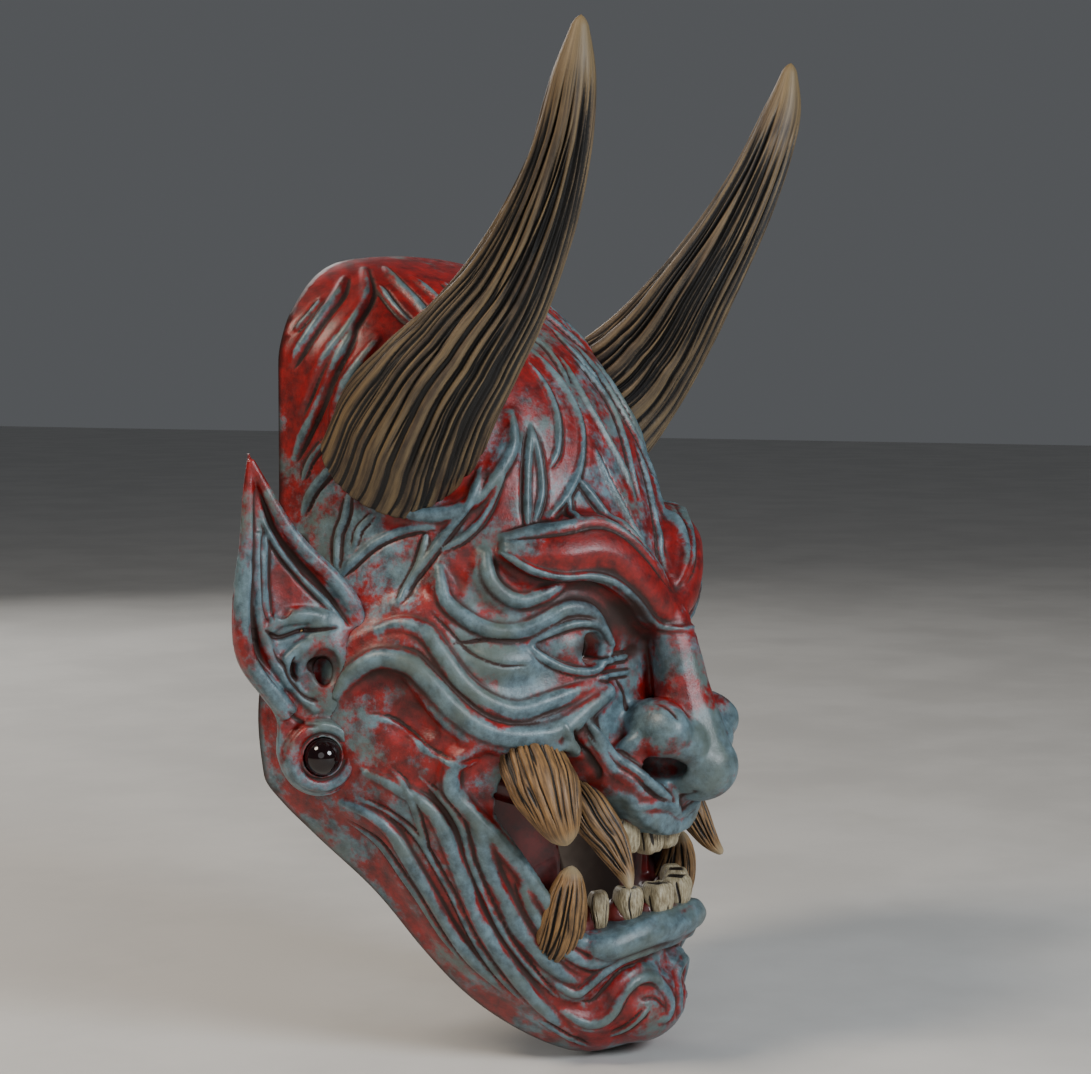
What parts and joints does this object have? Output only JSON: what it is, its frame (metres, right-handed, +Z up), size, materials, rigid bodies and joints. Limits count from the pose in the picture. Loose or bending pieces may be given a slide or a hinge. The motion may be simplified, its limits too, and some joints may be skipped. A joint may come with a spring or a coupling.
{
  "type": "noh mask",
  "caption": "Horned demon face mask, hollowed behind for the wearer, with fluted horns, flared ears, tusks and bared teeth set in a lacquered carved shell.",
  "frame": {"origin": "on the middle plane, in the plane of the back rim, at the height of the eye openings, where the wearer's eyes line is", "axes": "+X to the mask's own left, -Y the way the face looks, +Y out of the back, +Z up"},
  "size_m": [0.2164, 0.1372, 0.3484],
  "materials": {
    "face_lacquer": "carved wood, worn red lacquer under blue-grey rubbed crests, satin",
    "gum_lacquer": "dark red lacquer, satin",
    "horn_wood": "fluted horn, stained brown with black grooves, satin",
    "tusk_bone": "carved tusk, tan with black grooves, satin",
    "tooth_bone": "carved tooth, bone grey with dark stains, satin",
    "bead_glass": "near-black garnet glass, polished",
    "peg_wood": "bare pale wood",
    "screw_brass": "aged brass",
    "pad_leather": "soft brown leather, matt"
  },
  "bodies": {
    "root": {"face_shell": "face_lacquer", "horn_right": "horn_wood", "horn_left": "horn_wood", "horn_dowel_right": "peg_wood", "horn_dowel_left": "peg_wood", "horn_screw_right": "screw_brass", "horn_screw_left": "screw_brass", "horn_washer_right": "screw_brass", "horn_washer_left": "screw_brass", "ear_right": "face_lacquer", "ear_left": "face_lacquer", "ear_peg_right": "peg_wood", "ear_peg_left": "peg_wood", "ear_bead_right": "bead_glass", "ear_bead_left": "bead_glass", "upper_gum": "gum_lacquer", "lower_gum": "gum_lacquer", "upper_outer_tusk_right": "tusk_bone", "upper_outer_tusk_left": "tusk_bone", "upper_inner_tusk_right": "tusk_bone", "upper_inner_tusk_left": "tusk_bone", "lower_tusk_right": "tusk_bone", "lower_tusk_left": "tusk_bone", "upper_tooth_right_1": "tooth_bone", "upper_tooth_left_1": "tooth_bone", "upper_tooth_right_2": "tooth_bone", "upper_tooth_left_2": "tooth_bone", "lower_tooth_right_1": "tooth_bone", "lower_tooth_left_1": "tooth_bone", "lower_tooth_right_2": "tooth_bone", "lower_tooth_left_2": "tooth_bone", "lower_tooth_right_3": "tooth_bone", "lower_tooth_left_3": "tooth_bone", "forehead_pad": "pad_leather", "cheek_pad_right": "pad_leather", "cheek_pad_left": "pad_leather"}
  },
  "joints": []
}
